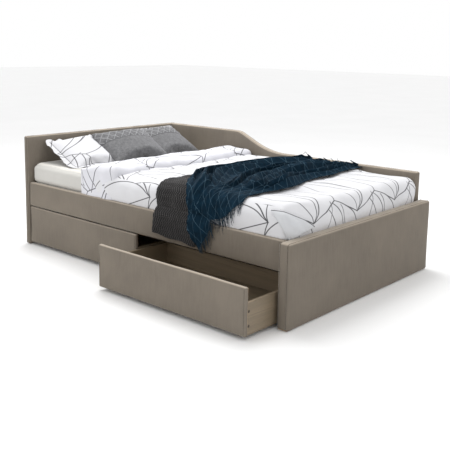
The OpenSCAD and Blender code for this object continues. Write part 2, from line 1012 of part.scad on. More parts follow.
headboard_board();
headboard_cover();
footboard_frame();
footboard_skins();
footboard_cover();
back_panel_board();
back_panel_cover();
side_rail_board();
side_rail_cover();
corner_brackets();
bracket_bolts();
slat_ledges();
frame_screws();
centre_beam();
beam_hangers();
centre_legs();
floor_glides();
slats();
slat_holders();
slat_straps();
drawer_stop_rail();
mattress();
fitted_sheet();
duvet();
duvet_fold();
white_pillow_front();
white_pillow_back();
grey_pillow_left();
grey_pillow_right();
knitted_throw();
plaid_blanket();
at_head_drawer() drawer_front_board();  // head_drawer_front_board
at_head_drawer() drawer_front_cover();  // head_drawer_front_cover
at_head_drawer() drawer_side(-1);  // head_drawer_side_left
at_head_drawer() drawer_side(1);  // head_drawer_side_right
at_head_drawer() drawer_back();  // head_drawer_back
at_head_drawer() drawer_bottom_panel();  // head_drawer_bottom
at_head_drawer() drawer_battens();  // head_drawer_battens
at_head_drawer() drawer_fixings();  // head_drawer_fixings
at_head_drawer() drawer_castor_brackets();  // head_drawer_castor_brackets
at_head_drawer() drawer_castor_axles();  // head_drawer_castor_axles
at_head_drawer() drawer_wheel(-1, 0);  // head_drawer_wheel_front_left
at_head_drawer() drawer_wheel(1, 0);  // head_drawer_wheel_front_right
at_head_drawer() drawer_wheel(-1, 1);  // head_drawer_wheel_back_left
at_head_drawer() drawer_wheel(1, 1);  // head_drawer_wheel_back_right
at_foot_drawer() drawer_front_board();  // foot_drawer_front_board
at_foot_drawer() drawer_front_cover();  // foot_drawer_front_cover
at_foot_drawer() drawer_side(-1);  // foot_drawer_side_left
at_foot_drawer() drawer_side(1);  // foot_drawer_side_right
at_foot_drawer() drawer_back();  // foot_drawer_back
at_foot_drawer() drawer_bottom_panel();  // foot_drawer_bottom
at_foot_drawer() drawer_battens();  // foot_drawer_battens
at_foot_drawer() drawer_fixings();  // foot_drawer_fixings
at_foot_drawer() drawer_castor_brackets();  // foot_drawer_castor_brackets
at_foot_drawer() drawer_castor_axles();  // foot_drawer_castor_axles
at_foot_drawer() drawer_wheel(-1, 0);  // foot_drawer_wheel_front_left
at_foot_drawer() drawer_wheel(1, 0);  // foot_drawer_wheel_front_right
at_foot_drawer() drawer_wheel(-1, 1);  // foot_drawer_wheel_back_left
at_foot_drawer() drawer_wheel(1, 1);  // foot_drawer_wheel_back_right
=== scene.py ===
"""Looks of an upholstered bed with two roll-out drawers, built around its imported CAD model.
+X runs from head to foot, +Y to the back panel and +Z up; the floor is z = 0. Metres throughout."""
import json
import math

import bpy
import numpy as np
from mathutils import Matrix, Vector
from mathutils.bvhtree import BVHTree


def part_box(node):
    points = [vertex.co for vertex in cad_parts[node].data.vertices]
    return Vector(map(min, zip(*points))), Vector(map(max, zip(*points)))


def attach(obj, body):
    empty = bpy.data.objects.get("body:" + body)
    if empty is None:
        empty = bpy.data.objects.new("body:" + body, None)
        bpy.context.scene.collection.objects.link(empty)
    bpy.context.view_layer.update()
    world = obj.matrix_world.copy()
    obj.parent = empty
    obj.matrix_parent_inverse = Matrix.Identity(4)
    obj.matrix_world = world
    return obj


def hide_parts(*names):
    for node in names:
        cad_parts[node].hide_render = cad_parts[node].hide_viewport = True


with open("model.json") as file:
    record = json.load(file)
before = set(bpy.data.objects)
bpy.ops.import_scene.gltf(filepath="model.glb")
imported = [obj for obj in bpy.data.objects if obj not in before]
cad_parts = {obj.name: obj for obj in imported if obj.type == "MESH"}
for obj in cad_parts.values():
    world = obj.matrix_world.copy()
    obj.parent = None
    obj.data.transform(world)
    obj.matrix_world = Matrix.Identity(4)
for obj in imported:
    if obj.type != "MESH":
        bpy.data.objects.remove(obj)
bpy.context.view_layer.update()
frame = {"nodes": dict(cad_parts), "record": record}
NODES = frame["nodes"]
SCENE = bpy.context.scene


def box(node):
    """Lowest and highest corner of a CAD node, as arrays."""
    low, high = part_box(node)
    return np.array(low), np.array(high)


HEAD, BACK, RAIL = (box(name + "_cover") for name in ("headboard", "back_panel", "side_rail"))
MATTRESS, SHEET, DUVET, FOLD = (box(name) for name in ("mattress", "fitted_sheet", "duvet", "duvet_fold"))
THROW, BLANKET = box("knitted_throw"), box("plaid_blanket")


# ---- meshes

def read(items, name, size=1, kind=float):
    """One property of all items, with size values in each row."""
    values = np.zeros(len(items) * size, kind)
    items.foreach_get(name, values)
    return values.reshape(-1, size) if size > 1 else values


def add_object(name, data):
    obj = bpy.data.objects.new(name, data)
    SCENE.collection.objects.link(obj)
    return obj


def new_object(name, verts, faces, uv=None):
    """A smooth mesh object, with an optional UV for each point."""
    mesh = bpy.data.meshes.new(name)
    mesh.from_pydata(np.asarray(verts).tolist(), [], [list(map(int, f)) for f in faces])
    mesh.polygons.foreach_set("use_smooth", [True] * len(mesh.polygons))
    if uv is not None:
        corner = read(mesh.loops, "vertex_index", kind=int)
        mesh.uv_layers.new(name="UVMap").data.foreach_set("uv", np.asarray(uv, float)[corner].ravel())
    mesh.update()
    return add_object(name, mesh)


def points_of(obj):
    return read(obj.data.vertices, "co", 3)


def set_points(obj, co):
    obj.data.vertices.foreach_set("co", np.asarray(co, float).ravel())
    obj.data.update()


def waves(points, size, seed, count=8):
    """Smooth noise of about unit height: a sum of plane waves about size long."""
    rng = np.random.default_rng(seed)
    total = np.zeros(len(points))
    for _ in range(count):
        way = rng.normal(size=points.shape[1])
        way /= np.linalg.norm(way)
        length = size * rng.uniform(0.7, 1.5)
        total += np.sin(points @ way * (2 * math.pi / length) + rng.uniform(0, 2 * math.pi))
    return total / math.sqrt(count)


def smoothstep(x, low, high):
    t = np.clip((x - low) / (high - low), 0, 1)
    return t * t * (3 - 2 * t)


def unit(vectors):
    return vectors / np.linalg.norm(vectors, axis=1, keepdims=True)


def distances(path):
    """How far each point of a polyline is along it."""
    return np.concatenate([[0], np.cumsum(np.linalg.norm(np.diff(path, axis=0), axis=1))])


def between(at, known, rows):
    """Rows of values at some places, from those at known ones."""
    return np.column_stack([np.interp(at, known, column) for column in np.asarray(rows, float).T])


def smoothed(curve, kernel, **ends):
    """A curve with each point averaged with its neighbours."""
    kernel = kernel / kernel.sum()
    return np.column_stack([np.convolve(np.pad(column, len(kernel) // 2, **ends), kernel, mode="valid")
                            for column in curve.T])


def arc(centre, radius, start, end, count=10):
    """Points of an arc in a plane, with angles in degrees from the plane's first axis."""
    angles = np.radians(np.linspace(start, end, count))
    return [(centre[0] + radius * math.cos(a), centre[1] + radius * math.sin(a)) for a in angles]


def lattice(low, high, radius, step):
    """Coordinates from low to high, close together where the edges are rounded."""
    turns = 4
    bend = [radius * (1 - math.tan(math.pi / 4 * (1 - k / turns))) for k in range(turns)]
    count = max(1, round((high - low - 2 * radius) / step))
    middle = np.linspace(low + radius, high - radius, count + 1)
    return np.concatenate([[low + b for b in bend], middle, [high - b for b in bend[::-1]]])


def box_surface(xs, ys, zs):
    """Points and quads of a box's surface on a lattice."""
    grids, index, faces = (xs, ys, zs), {}, []
    for axis in range(3):
        a, b = (axis + 1) % 3, (axis + 2) % 3
        for end in (0, 1):
            for i in range(len(grids[a]) - 1):
                for j in range(len(grids[b]) - 1):
                    quad = []
                    for di, dj in ((0, 0), (1, 0), (1, 1), (0, 1)):
                        key = [0, 0, 0]
                        key[axis] = (len(grids[axis]) - 1) * end
                        key[a], key[b] = i + di, j + dj
                        quad.append(index.setdefault(tuple(key), len(index)))
                    faces.append(quad if end else quad[::-1])
    return np.array([[grid[k] for grid, k in zip(grids, key)] for key in index]), faces


def rounded_box(low, high, radius, step):
    """Points, quads and outward normals of a box with rounded edges."""
    verts, faces = box_surface(*(lattice(low[i], high[i], radius, step) for i in range(3)))
    core = np.clip(verts, low + radius, high - radius)
    away = unit(verts - core)
    return core + away * radius, faces, away


def bands(rings):
    """Quads between closed rings of point numbers."""
    n = len(rings[0])
    return [[a[k], a[(k + 1) % n], b[(k + 1) % n], b[k]]
            for a, b in zip(rings, rings[1:]) for k in range(n)]


def tube(path, radius, sides=6):
    """Points and quads of a round tube along a polyline, with closed ends."""
    path = np.asarray(path, float)
    along = unit(np.gradient(path, axis=0))
    side = unit(np.cross(along, [0.3, 0.5, 0.81]))
    over = np.cross(along, side)
    radii = np.broadcast_to(radius, (len(path),))
    turn = np.arange(sides) * 2 * math.pi / sides
    ring = side[:, None] * np.cos(turn)[None, :, None] + over[:, None] * np.sin(turn)[None, :, None]
    verts = (path[:, None] + ring * radii[:, None, None]).reshape(-1, 3)
    rings = [[i * sides + k for k in range(sides)] for i in range(len(path))]
    return verts, bands(rings) + [rings[0][::-1], rings[-1]]


def merge(parts):
    """One list of points and faces from several."""
    verts, faces, start = [], [], 0
    for v, f in parts:
        verts.append(v)
        faces += [[start + i for i in face] for face in f]
        start += len(v)
    return np.concatenate(verts), faces


def grid_faces(rows, columns):
    return [[i * columns + j, i * columns + j + 1, (i + 1) * columns + j + 1, (i + 1) * columns + j]
            for i in range(rows - 1) for j in range(columns - 1)]


# ---- materials

class Look:
    """A Principled material, with short calls for its nodes and its colour."""

    def __init__(self, name, color, rough, **sockets):
        self.material = bpy.data.materials.new(name)
        self.material.use_nodes = True
        self.material.diffuse_color = (*color, 1)
        self.tree = self.material.node_tree
        self.shader = self.tree.nodes["Principled BSDF"]
        self.own = color
        self.set("Base Color", (*color, 1))
        self.set("Roughness", rough)
        for socket, value in sockets.items():
            self.set(socket.replace("_", " "), value)

    def feed(self, socket, value):
        if isinstance(value, bpy.types.NodeSocket):
            self.tree.links.new(value, socket)
        else:
            socket.default_value = value

    def set(self, socket, value):
        self.feed(self.shader.inputs[socket], value)

    def node(self, kind, inputs=(), **settings):
        made = self.tree.nodes.new("ShaderNode" + kind)
        for key, value in settings.items():
            setattr(made, key, value)
        for key, value in dict(inputs).items():
            self.feed(made.inputs[key], value)
        return made

    def math(self, operation, a, b=0, c=0):
        return self.node("Math", {0: a, 1: b, 2: c}, operation=operation).outputs[0]

    def vector_math(self, operation, a, b=(0, 0, 0)):
        made = self.node("VectorMath", {0: a, 1: b}, operation=operation)
        return made.outputs["Value" if operation in ("DOT_PRODUCT", "DISTANCE") else "Vector"]

    def split(self, vector):
        return self.node("SeparateXYZ", {0: vector}).outputs[:]

    def coordinates(self, scale=(1, 1, 1), turn=0.0, shift=(0, 0), uv=False):
        source = self.node("TexCoord").outputs["UV" if uv else "Object"]
        return self.node("Mapping", {"Vector": source, "Scale": scale, "Rotation": (0, 0, turn),
                                     "Location": (*shift, 0)}).outputs[0]

    def noise(self, where, scale, detail, rough=0.5, distort=0):
        return self.node("TexNoise", {"Vector": where, "Scale": scale, "Detail": detail, "Roughness": rough,
                                      "Distortion": distort}).outputs["Fac"]

    def ramp(self, value, low=0.3, high=0.7, out_low=0, out_high=1):
        return self.node("MapRange", {"Value": value, "From Min": low, "From Max": high,
                                      "To Min": out_low, "To Max": out_high}).outputs[0]

    def tint(self, value):
        """A colour with alpha, from a colour or a factor of the material's own."""
        if isinstance(value, (int, float)):
            value = tuple(c * value for c in self.own)
        return (*value, 1) if isinstance(value, tuple) else value

    def vary(self, share, a, b):
        """Makes the colour a blend of two tints."""
        mixed = self.node("Mix", {0: share, 6: self.tint(a), 7: self.tint(b)}, data_type="RGBA")
        self.tone = mixed.outputs[2]
        self.set("Base Color", self.tone)

    def lay(self, share, over):
        """Lays a tint over the colour so far."""
        self.vary(share, self.tone, over)

    def bump(self, height, distance, strength):
        before = self.shader.inputs["Normal"].links
        made = self.node("Bump", {"Height": height, "Distance": distance, "Strength": strength})
        if before:
            self.feed(made.inputs["Normal"], before[0].from_socket)
        self.set("Normal", made.outputs[0])


def velvet(name, color):
    """Short pile that lies in soft patches, with a fine weave and a pale sheen; faces that point up get a
    painted highlight.
    """
    look = Look(name, color, 0.85, Sheen_Weight=0.8, Sheen_Roughness=0.22, Sheen_Tint=(1, 0.97, 0.92, 1),
                Specular_IOR_Level=0.15)
    where = look.coordinates()
    patches = look.noise(where, 5.0, 4, 0.55, 0.4)
    streaks = look.noise(look.coordinates((1, 1, 0.12)), 90, 3, 0.6)
    pile = look.noise(where, 900, 2)
    # the normal's upward part, which drives the painted highlight below
    up = look.split(look.node("NewGeometry").outputs["Normal"])[2]
    look.vary(look.ramp(patches), 0.88, 1.12)
    look.lay(look.ramp(streaks, 0.35, 0.65, 0, 0.3), 1.25)
    look.lay(look.ramp(pile, 0.3, 0.7, 0, 0.25), 0.72)
    # painted highlight: faces that point up are made up to three times lighter, standing in for the top
    # light
    look.lay(look.ramp(up, 0.35, 0.95, 0, 0.6), 3.0)
    look.set("Roughness", look.ramp(patches, 0.3, 0.7, 0.78, 0.95))
    look.bump(patches, 0.002, 0.4)
    look.bump(pile, 0.0006, 0.5)
    return look


def timber(name, color, grain, contrast=0.35, rough=0.55, rings=9.0, coat=0.0):
    """Wood with its grain along one axis: 0, 1 or 2."""
    look = Look(name, color, rough, Coat_Weight=coat, Coat_Roughness=0.35)
    scale = [1.0, 1.0, 1.0]
    scale[grain] = 0.06
    where = look.coordinates(tuple(scale))
    bands = look.math("FRACT", look.math("MULTIPLY", look.noise(where, rings, 5, 0.55, 0.7), 7.0))
    fibre = look.noise(where, 260, 4, 0.65)
    pores = look.noise(where, 900, 2, 0.5)
    look.vary(look.ramp(bands, 0, 1), 1 - contrast, 1 + contrast * 0.4)
    look.lay(look.ramp(fibre, 0.35, 0.7, 0, 0.5), 1 - contrast * 0.8)
    look.lay(look.ramp(pores, 0.62, 0.7, 0, 0.5), 0.5)
    look.set("Roughness", look.ramp(fibre, 0.3, 0.7, rough - 0.08, rough + 0.12))
    look.bump(fibre, 0.0006, 0.5)
    return look


def chipboard(name, color):
    look = Look(name, color, 0.85)
    chips = look.node("TexVoronoi", {"Vector": look.coordinates(), "Scale": 260.0, "Randomness": 1.0})
    value = look.node("SeparateColor", {0: chips.outputs["Color"]}).outputs[0]
    look.vary(value, 0.6, 1.35)
    look.bump(value, 0.0005, 0.6)
    return look


def hardboard(name, color):
    look = Look(name, color, 0.6)
    fibre = look.noise(look.coordinates(), 420, 4, 0.7)
    look.vary(look.ramp(fibre), 0.75, 1.3)
    look.bump(fibre, 0.0004, 0.4)
    return look


def metal(name, color, rough, metallic=1.0):
    look = Look(name, color, rough, Metallic=metallic)
    spangle = look.noise(look.coordinates(), 120, 3, 0.6)
    scratch = look.noise(look.coordinates((1, 1, 0.05)), 700, 3, 0.6)
    look.vary(look.ramp(spangle, 0.35, 0.65), 0.85, 1.15)
    look.set("Roughness", look.ramp(scratch, 0.3, 0.7, rough - 0.08, rough + 0.12))
    look.bump(scratch, 0.0002, 0.3)
    return look


def plastic(name, color, rough):
    look = Look(name, color, rough)
    grain = look.noise(look.coordinates(), 900, 3, 0.6)
    look.vary(look.ramp(grain), 0.85, 1.2)
    look.set("Roughness", look.ramp(grain, 0.3, 0.7, rough - 0.06, rough + 0.08))
    look.bump(grain, 0.0002, 0.4)
    return look


def woven(look, pitch):
    """Plain weave: threads over and under in two directions."""
    across, along, _ = look.split(look.coordinates(uv=True))
    turns = 2 * math.pi / pitch
    warp, weft = (look.math("SINE", look.math("MULTIPLY", way, turns)) for way in (across, along))
    look.bump(look.math("MULTIPLY", warp, weft), 0.0003, 0.3)


def cotton(name, color, patch=0.05, weave=0.0012):
    """Soft cloth with fine creases; patch is how much darker it gets in places."""
    look = Look(name, color, 0.85, Sheen_Weight=0.15, Sheen_Roughness=0.5, Specular_IOR_Level=0.25)
    where = look.coordinates()
    look.vary(look.ramp(look.noise(where, 6, 3)), 1 - patch, 1.0)
    look.bump(look.noise(where, 26, 4, 0.6, 0.8), 0.004, 0.35)
    woven(look, weave)
    return look


# The print: fans of straight lines and arcs that open from points on a lattice.
TILE = (0.39, 0.80)
PRINT_LINE = 0.0024
INK = (0.02, 0.02, 0.025)
FAN = (0.12, 0.02)
ELBOW = (0.32, 0.10)
STRAIGHTS = [(FAN, ELBOW), (ELBOW, (0.39, 0.071)), ((0.0, 0.071), FAN), (FAN, (0.03, 0.26)),
             ((0.03, 0.26), (0.09, 0.50))]
ARCS = [(FAN, (0.16, 0.475), 0.34), (FAN, (0.10, 0.49), 0.30), (FAN, (0.05, 0.465), 0.33),
        (ELBOW, (0.22, 0.46), 0.25)]


def fan_distance(look, point):
    """Distance from a point of the tile to the nearest line of the fan."""
    parts = []
    for a, b in STRAIGHTS:
        a, b = Vector((*a, 0)), Vector((*b, 0))
        way = b - a
        offset = look.vector_math("SUBTRACT", point, a)
        share = look.math("DIVIDE", look.vector_math("DOT_PRODUCT", offset, way), way.length_squared)
        share = look.node("Clamp", {0: share}).outputs[0]
        nearest = look.node("VectorMath", {0: way, "Scale": share}, operation="SCALE").outputs[0]
        parts.append(look.vector_math("DISTANCE", offset, nearest))
    for a, b, radius in ARCS:
        a, b = Vector((*a, 0)), Vector((*b, 0))
        chord = b - a
        out = Vector((chord.y, -chord.x, 0)).normalized()
        centre = (a + b) / 2 - out * math.sqrt(max(radius ** 2 - chord.length_squared / 4, 0))
        reach = look.vector_math("DISTANCE", point, centre)
        ring = look.math("ABSOLUTE", look.math("SUBTRACT", reach, radius))
        side = look.vector_math("DOT_PRODUCT", look.vector_math("SUBTRACT", point, a), out)
        parts.append(look.math("ADD", ring, look.math("LESS_THAN", side, -0.001)))
    nearest = parts[0]
    for part in parts[1:]:
        nearest = look.math("MINIMUM", nearest, part)
    return nearest


def printed_cotton(name, color, turn, shift):
    """White cotton with the print, over UVs in metres."""
    look = cotton(name, color, 0.03)
    where = look.coordinates(turn=turn, shift=shift, uv=True)
    lines = []
    for offset in ((0, 0, 0), (TILE[0] / 2, TILE[1] / 2, 0)):
        moved = look.vector_math("ADD", where, offset)
        lines.append(fan_distance(look, look.vector_math("WRAP", moved, (*TILE, 1))))
    ink = look.ramp(look.math("MINIMUM", *lines), PRINT_LINE * 0.6, PRINT_LINE * 1.5, 1, 0)
    look.lay(look.math("MULTIPLY", ink, 0.93), INK)
    return look


def cotton_painted_edge_shadow(name, color):
    """Plain white cotton with a painted shadow line along one edge, where U is nothing."""
    look = cotton(name, color)
    # painted shadow: a dark line along the folded corner's edge
    look.lay(look.ramp(look.split(look.coordinates(uv=True))[0], 0.0035, 0.0060, 1, 0), INK)
    return look


QUILT_SEAM = 0.034
QUILT_PITCH = 0.058


def grey_quilting(name, color):
    """Crushed pile with pale stitched diamonds above a seam, with painted shade along the seam's groove."""
    look = Look(name, color, 0.8, Sheen_Weight=0.3, Sheen_Roughness=0.35, Sheen_Tint=(0.8, 0.8, 0.85, 1))
    where = look.coordinates()
    crushed = look.noise(where, 60, 5, 0.65, 0.6)
    pile = look.noise(where, 800, 2)
    across, up, _ = look.split(look.coordinates(uv=True))
    edges = []
    for sign in (1, -1):
        slant = look.math("MULTIPLY_ADD", up, sign, across)
        edges.append(look.ramp(look.math("PINGPONG", slant, QUILT_PITCH / 2), 0.002, 0.0065, 1, 0))
    band = look.ramp(up, QUILT_SEAM, QUILT_SEAM + 0.003)
    quilt = look.math("MULTIPLY", look.math("MAXIMUM", *edges), band)
    from_seam = look.math("ABSOLUTE", look.math("SUBTRACT", up, QUILT_SEAM))
    look.vary(look.ramp(crushed), 0.62, 1.6)
    look.lay(look.ramp(pile, 0.3, 0.7, 0, 0.4), 0.5)
    look.lay(look.math("MULTIPLY", quilt, 0.7), 2.6)
    # painted shade: a dark line along the seam's groove
    look.lay(look.ramp(from_seam, 0.001, 0.004, 0.6, 0), 0.3)
    look.bump(quilt, 0.004, 0.7)
    look.bump(crushed, 0.002, 0.6)
    look.bump(pile, 0.0006, 0.5)
    return look


def charcoal_knit(name, color):
    """Wool with painted light on the throw's ribs and painted shade in the gaps between them."""
    look = Look(name, color, 0.95, Sheen_Weight=0.1, Sheen_Roughness=0.5, Specular_IOR_Level=0.1)
    yarn = look.noise(look.coordinates(), 420, 3, 0.6)
    # painted light and shade: a lit colour on the ribs' tops, painted shade at a third of the wool's colour
    # in the gaps
    look.vary(look.node("Attribute", attribute_name="ridge").outputs["Fac"], 0.3, (0.15, 0.144, 0.143))
    look.lay(look.ramp(yarn, 0.3, 0.7, 0, 0.6), 0.5)
    look.bump(yarn, 0.0012, 0.7)
    return look


PLAID_PITCH = 0.084
PLAID_LINE = 0.0011


def teal_plaid(name, color):
    """Brushed wool on the bias, with thin pale window-pane checks."""
    look = Look(name, color, 0.9, Specular_IOR_Level=0.08)
    across, along, _ = look.split(look.coordinates(turn=math.radians(45), uv=True))
    places = [look.math("PINGPONG", way, PLAID_PITCH / 2) for way in (across, along)]
    lines = [look.ramp(place, PLAID_LINE * 0.6, PLAID_LINE * 1.6, 1, 0) for place in places]
    look.vary(look.ramp(look.noise(look.coordinates(), 30, 4, 0.6)), 0.72, 1.45)
    look.lay(look.math("MULTIPLY", look.math("MAXIMUM", *lines), 0.6), (0.085, 0.15, 0.20))
    look.bump(look.noise(look.coordinates(), 700, 3, 0.6), 0.0008, 0.5)
    woven(look, 0.0022)
    return look


OAK = (0.23, 0.18, 0.12)
RECIPES = {
    "velvet": (velvet, (0.185, 0.160, 0.131)),
    # seams: the velvet at half its brightness, painted shade of the seam's groove
    "velvet_seam": (velvet, (0.09, 0.077, 0.063)),
    "chipboard": (chipboard, (0.42, 0.28, 0.15)),
    "pine": (timber, (0.58, 0.38, 0.19), 0),
    "hardboard": (hardboard, (0.13, 0.065, 0.03)),
    "slat_wood": (timber, (0.66, 0.47, 0.26), 1),
    "zinc_steel": (metal, (0.55, 0.56, 0.58), 0.38),
    "fastener_steel": (metal, (0.30, 0.30, 0.31), 0.35),
    "fixing_brown": (plastic, (0.035, 0.022, 0.014), 0.45),
    "leg_metal": (metal, (0.02, 0.02, 0.022), 0.5, 0.0),
    "black_plastic": (plastic, (0.018, 0.018, 0.018), 0.5),
    "wheel_plastic": (plastic, (0.025, 0.025, 0.028), 0.35),
    "webbing": (cotton, (0.62, 0.60, 0.54), 0.1, 0.004),
    "mattress_fabric": (cotton, (0.72, 0.70, 0.65), 0.06, 0.003),
    # the sheet's cream grey colour, darkened further with painted shade
    "sheet_cotton": (cotton, (0.54, 0.53, 0.50), 0.04),
    "print_cotton": (printed_cotton, (0.66, 0.66, 0.68), math.radians(-90), (0.571, 1.113)),
    "print_cotton_fold": (printed_cotton, (0.65, 0.65, 0.69), math.radians(180), (-0.111, 0.123)),
    "print_cotton_pillow": (printed_cotton, (0.60, 0.60, 0.62), 0.9, (0.30, 0.22)),
    "plain_cotton": (cotton_painted_edge_shadow, (0.59, 0.60, 0.62)),
    "grey_quilting": (grey_quilting, (0.112, 0.112, 0.116)),
    "charcoal_knit": (charcoal_knit, (0.022, 0.021, 0.022)),
    "teal_plaid": (teal_plaid, (0.0030, 0.0145, 0.0270)),
    "teal_yarn": (plastic, (0.006, 0.021, 0.035), 0.9),
    "drawer_oak": (timber, OAK, 0, 0.2, 0.5, 7.0, 0.1),
    "drawer_oak_side": (timber, OAK, 1, 0.2, 0.5, 7.0, 0.1),
}
LOOKS = {name: make(name, *values).material for name, (make, *values) in RECIPES.items()}


def finish_piece(obj, slot, body="bed_frame", look=None, replaces=()):
    """Gives a new piece the material of its slot or look, puts it on a body and hides the CAD nodes it
    replaces.
    """
    obj.data.materials.append(LOOKS[look or slot])
    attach(obj, body)
    if replaces:
        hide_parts(*replaces)


def dress_cad_nodes():
    """Gives every CAD node the material of its slot."""
    for part in frame["record"]["subparts"]:
        materials = NODES[part["node"]].data.materials
        materials.clear()
        materials.append(LOOKS["drawer_oak_side" if "_side_" in part["node"] else part["material_slot"]])


# ---- upholstery

EDGE = 0.009
CROWN = 0.0018
SEAM_LIFT = 0.0003
DUST_COVER = 0.0006


def soften(verts, away, crown, seed):
    """Foam under fabric: a low crown on wide faces and slight unevenness."""
    low, high = verts.min(0), verts.max(0)
    inside = np.minimum(verts - low, high - verts)
    flat = np.abs(away).max(1) > 0.999
    across = np.sort(inside, axis=1)[:, 1]
    lift = np.where(flat, 1 - np.exp(-across / 0.03), 0) * crown
    return verts + away * (lift + 0.0005 * waves(verts, 0.13, seed))[:, None]


def padded_panel(panel, seed, body="bed_frame", radius=EDGE, crown=CROWN):
    """A padded panel in place of its CAD cover; returns its lowest and highest corner."""
    low, high = box(panel + "_cover")
    low += [crown, crown, -DUST_COVER]
    high -= crown
    verts, faces, away = rounded_box(low, high, radius, 0.022)
    obj = new_object(panel + "_upholstery", soften(verts, away, crown, seed), faces)
    finish_piece(obj, "velvet", body, replaces=(panel + "_cover",))
    return low, high


def sew(name, path, body="bed_frame", radius=0.0011):
    """A sewn seam along a path, in a darker velvet that is painted shade of the seam's groove."""
    finish_piece(new_object(name, *tube(path, radius)), "velvet", body, "velvet_seam")


def make_end_panels():
    """The headboard and the footboard, with a seam near each face."""
    for panel, seed, radius, crown, inset, names in (
            ("headboard", 3, EDGE, CROWN, 0.008, ("headboard_seam", "headboard_back_seam")),
            ("footboard", 5, 0.012, 0.0025, 0.010, ("footboard_seam", "footboard_inner_seam"))):
        low, high = padded_panel(panel, seed, radius=radius, crown=crown)
        path = [(low[1] - SEAM_LIFT, low[2] + 0.004)]
        path += arc((low[1] + radius, high[2] - radius), radius + SEAM_LIFT, 180, 90, 7)
        path += arc((high[1] - radius, high[2] - radius), radius + SEAM_LIFT, 90, 0, 7)
        path += [(high[1] + SEAM_LIFT, low[2] + 0.004)]
        for name, x in zip(names, (high[0] - inset, low[0] + inset)):
            sew(name, [(x, *point) for point in path])


def top_of_back(x):
    """Height of the back panel's top at x, read from its CAD cover."""
    co = points_of(NODES["back_panel_cover"])
    rim = co[(np.abs(co[:, 1] - BACK[1][1]) < 1e-5) & (co[:, 2] > MATTRESS[0][2])]
    rim = rim[np.argsort(rim[:, 0])]
    return np.interp(x, rim[:, 0], rim[:, 2])


def make_back_panel():
    """The panel along the back, which sweeps up to the headboard."""
    low, high = BACK[0] + [0, CROWN, -DUST_COVER], BACK[1] - [0, CROWN, 0]
    high[2] = flat_top = float(top_of_back(high[0] - 0.1))
    verts, faces, away = rounded_box(low, high, EDGE, 0.018)
    verts = soften(verts, away, CROWN, 7)
    raised = top_of_back(verts[:, 0]) - flat_top
    verts[:, 2] += raised * smoothstep(verts[:, 2], 0.25, flat_top - EDGE) - CROWN
    obj = new_object("back_panel_upholstery", verts, faces)
    finish_piece(obj, "velvet", replaces=("back_panel_cover",))
    xs = np.linspace(low[0] + EDGE, high[0] - EDGE, 160)
    top = top_of_back(xs) - CROWN + 0.0002
    for name, y in (("back_panel_seam", low[1] + 0.009), ("back_panel_outer_seam", high[1] - 0.009)):
        sew(name, np.column_stack([xs, np.full(len(xs), y), top]))


def make_drawer_fronts():
    """The drawers' padded fronts, with a seam near both ends."""
    for seed, drawer in enumerate(("head_drawer", "foot_drawer")):
        low, high = padded_panel(drawer + "_front", 20 + seed, drawer, 0.008, 0.0012)
        (front, base), top = low[1:] - [SEAM_LIFT, 0], high[2]
        for side, x in (("left", low[0] + 0.009), ("right", high[0] - 0.009)):
            path = [(x, front + 0.004, base + 0.003), (x, front, base + 0.012),
                    (x, front, top - 0.012), (x, front + 0.004, top - 0.003)]
            sew(f"{drawer}_front_seam_{side}", path, drawer, 0.0009)


# ---- simulation

def blow_up(bags, frames=22):
    """Runs Blender's cloth on closed bags, with air in them, and keeps the last shape."""
    for bag in bags:
        cloth = bag.modifiers.new("Cloth", "CLOTH")
        cloth.settings.quality = 5
        cloth.settings.effector_weights.gravity = 0
        for key, value in {"use_pressure": True, "uniform_pressure_force": 2.4,
                           "tension_stiffness": 22, "compression_stiffness": 22, "shear_stiffness": 8,
                           "bending_stiffness": 0.6, "mass": 0.25, "air_damping": 4}.items():
            setattr(cloth.settings, key, value)
        cloth.collision_settings.use_collision = False
        cloth.point_cache.frame_start, cloth.point_cache.frame_end = 1, frames
    SCENE.frame_start, SCENE.frame_end = 1, frames
    for step in range(1, frames + 1):
        SCENE.frame_set(step)
    graph = bpy.context.evaluated_depsgraph_get()
    shapes = [points_of(bag.evaluated_get(graph)) for bag in bags]
    for bag, co in zip(bags, shapes):
        bag.modifiers.remove(bag.modifiers["Cloth"])
        set_points(bag, co)
    SCENE.frame_set(1)


def smooth_more(obj):
    made = obj.modifiers.new("Subdivision", "SUBSURF")
    made.levels = made.render_levels = 1


def thicken(obj, thickness, offset=-1):
    shell = obj.modifiers.new("Thickness", "SOLIDIFY")
    shell.thickness, shell.offset = thickness, offset


def outer_surface(piece):
    """A search tree of a piece's faces, and 1 or -1 to turn their normals outwards."""
    faces = [list(p.vertices) for p in piece.data.polygons]
    upward = sum(p.normal.z * p.area for p in piece.data.polygons)
    return BVHTree.FromPolygons(points_of(piece).tolist(), faces), 1 if upward > 0 else -1


def clear_of(co, pieces, gap, reach=0.14, beside=0.012):
    """Moves points that lie in or too near these pieces out to the gap."""
    trees = [outer_surface(piece) for piece in pieces]
    for index in range(len(co)):
        for tree, sign in trees:
            point = Vector(co[index])
            found, normal, _, _ = tree.find_nearest(point, reach)
            if found is None:
                continue
            normal = normal * sign
            offset = point - found
            above = offset.dot(normal)
            if above < gap and (offset - normal * above).length < beside:
                co[index] = np.array(point + normal * (gap - above))
    return co


# ---- bedding

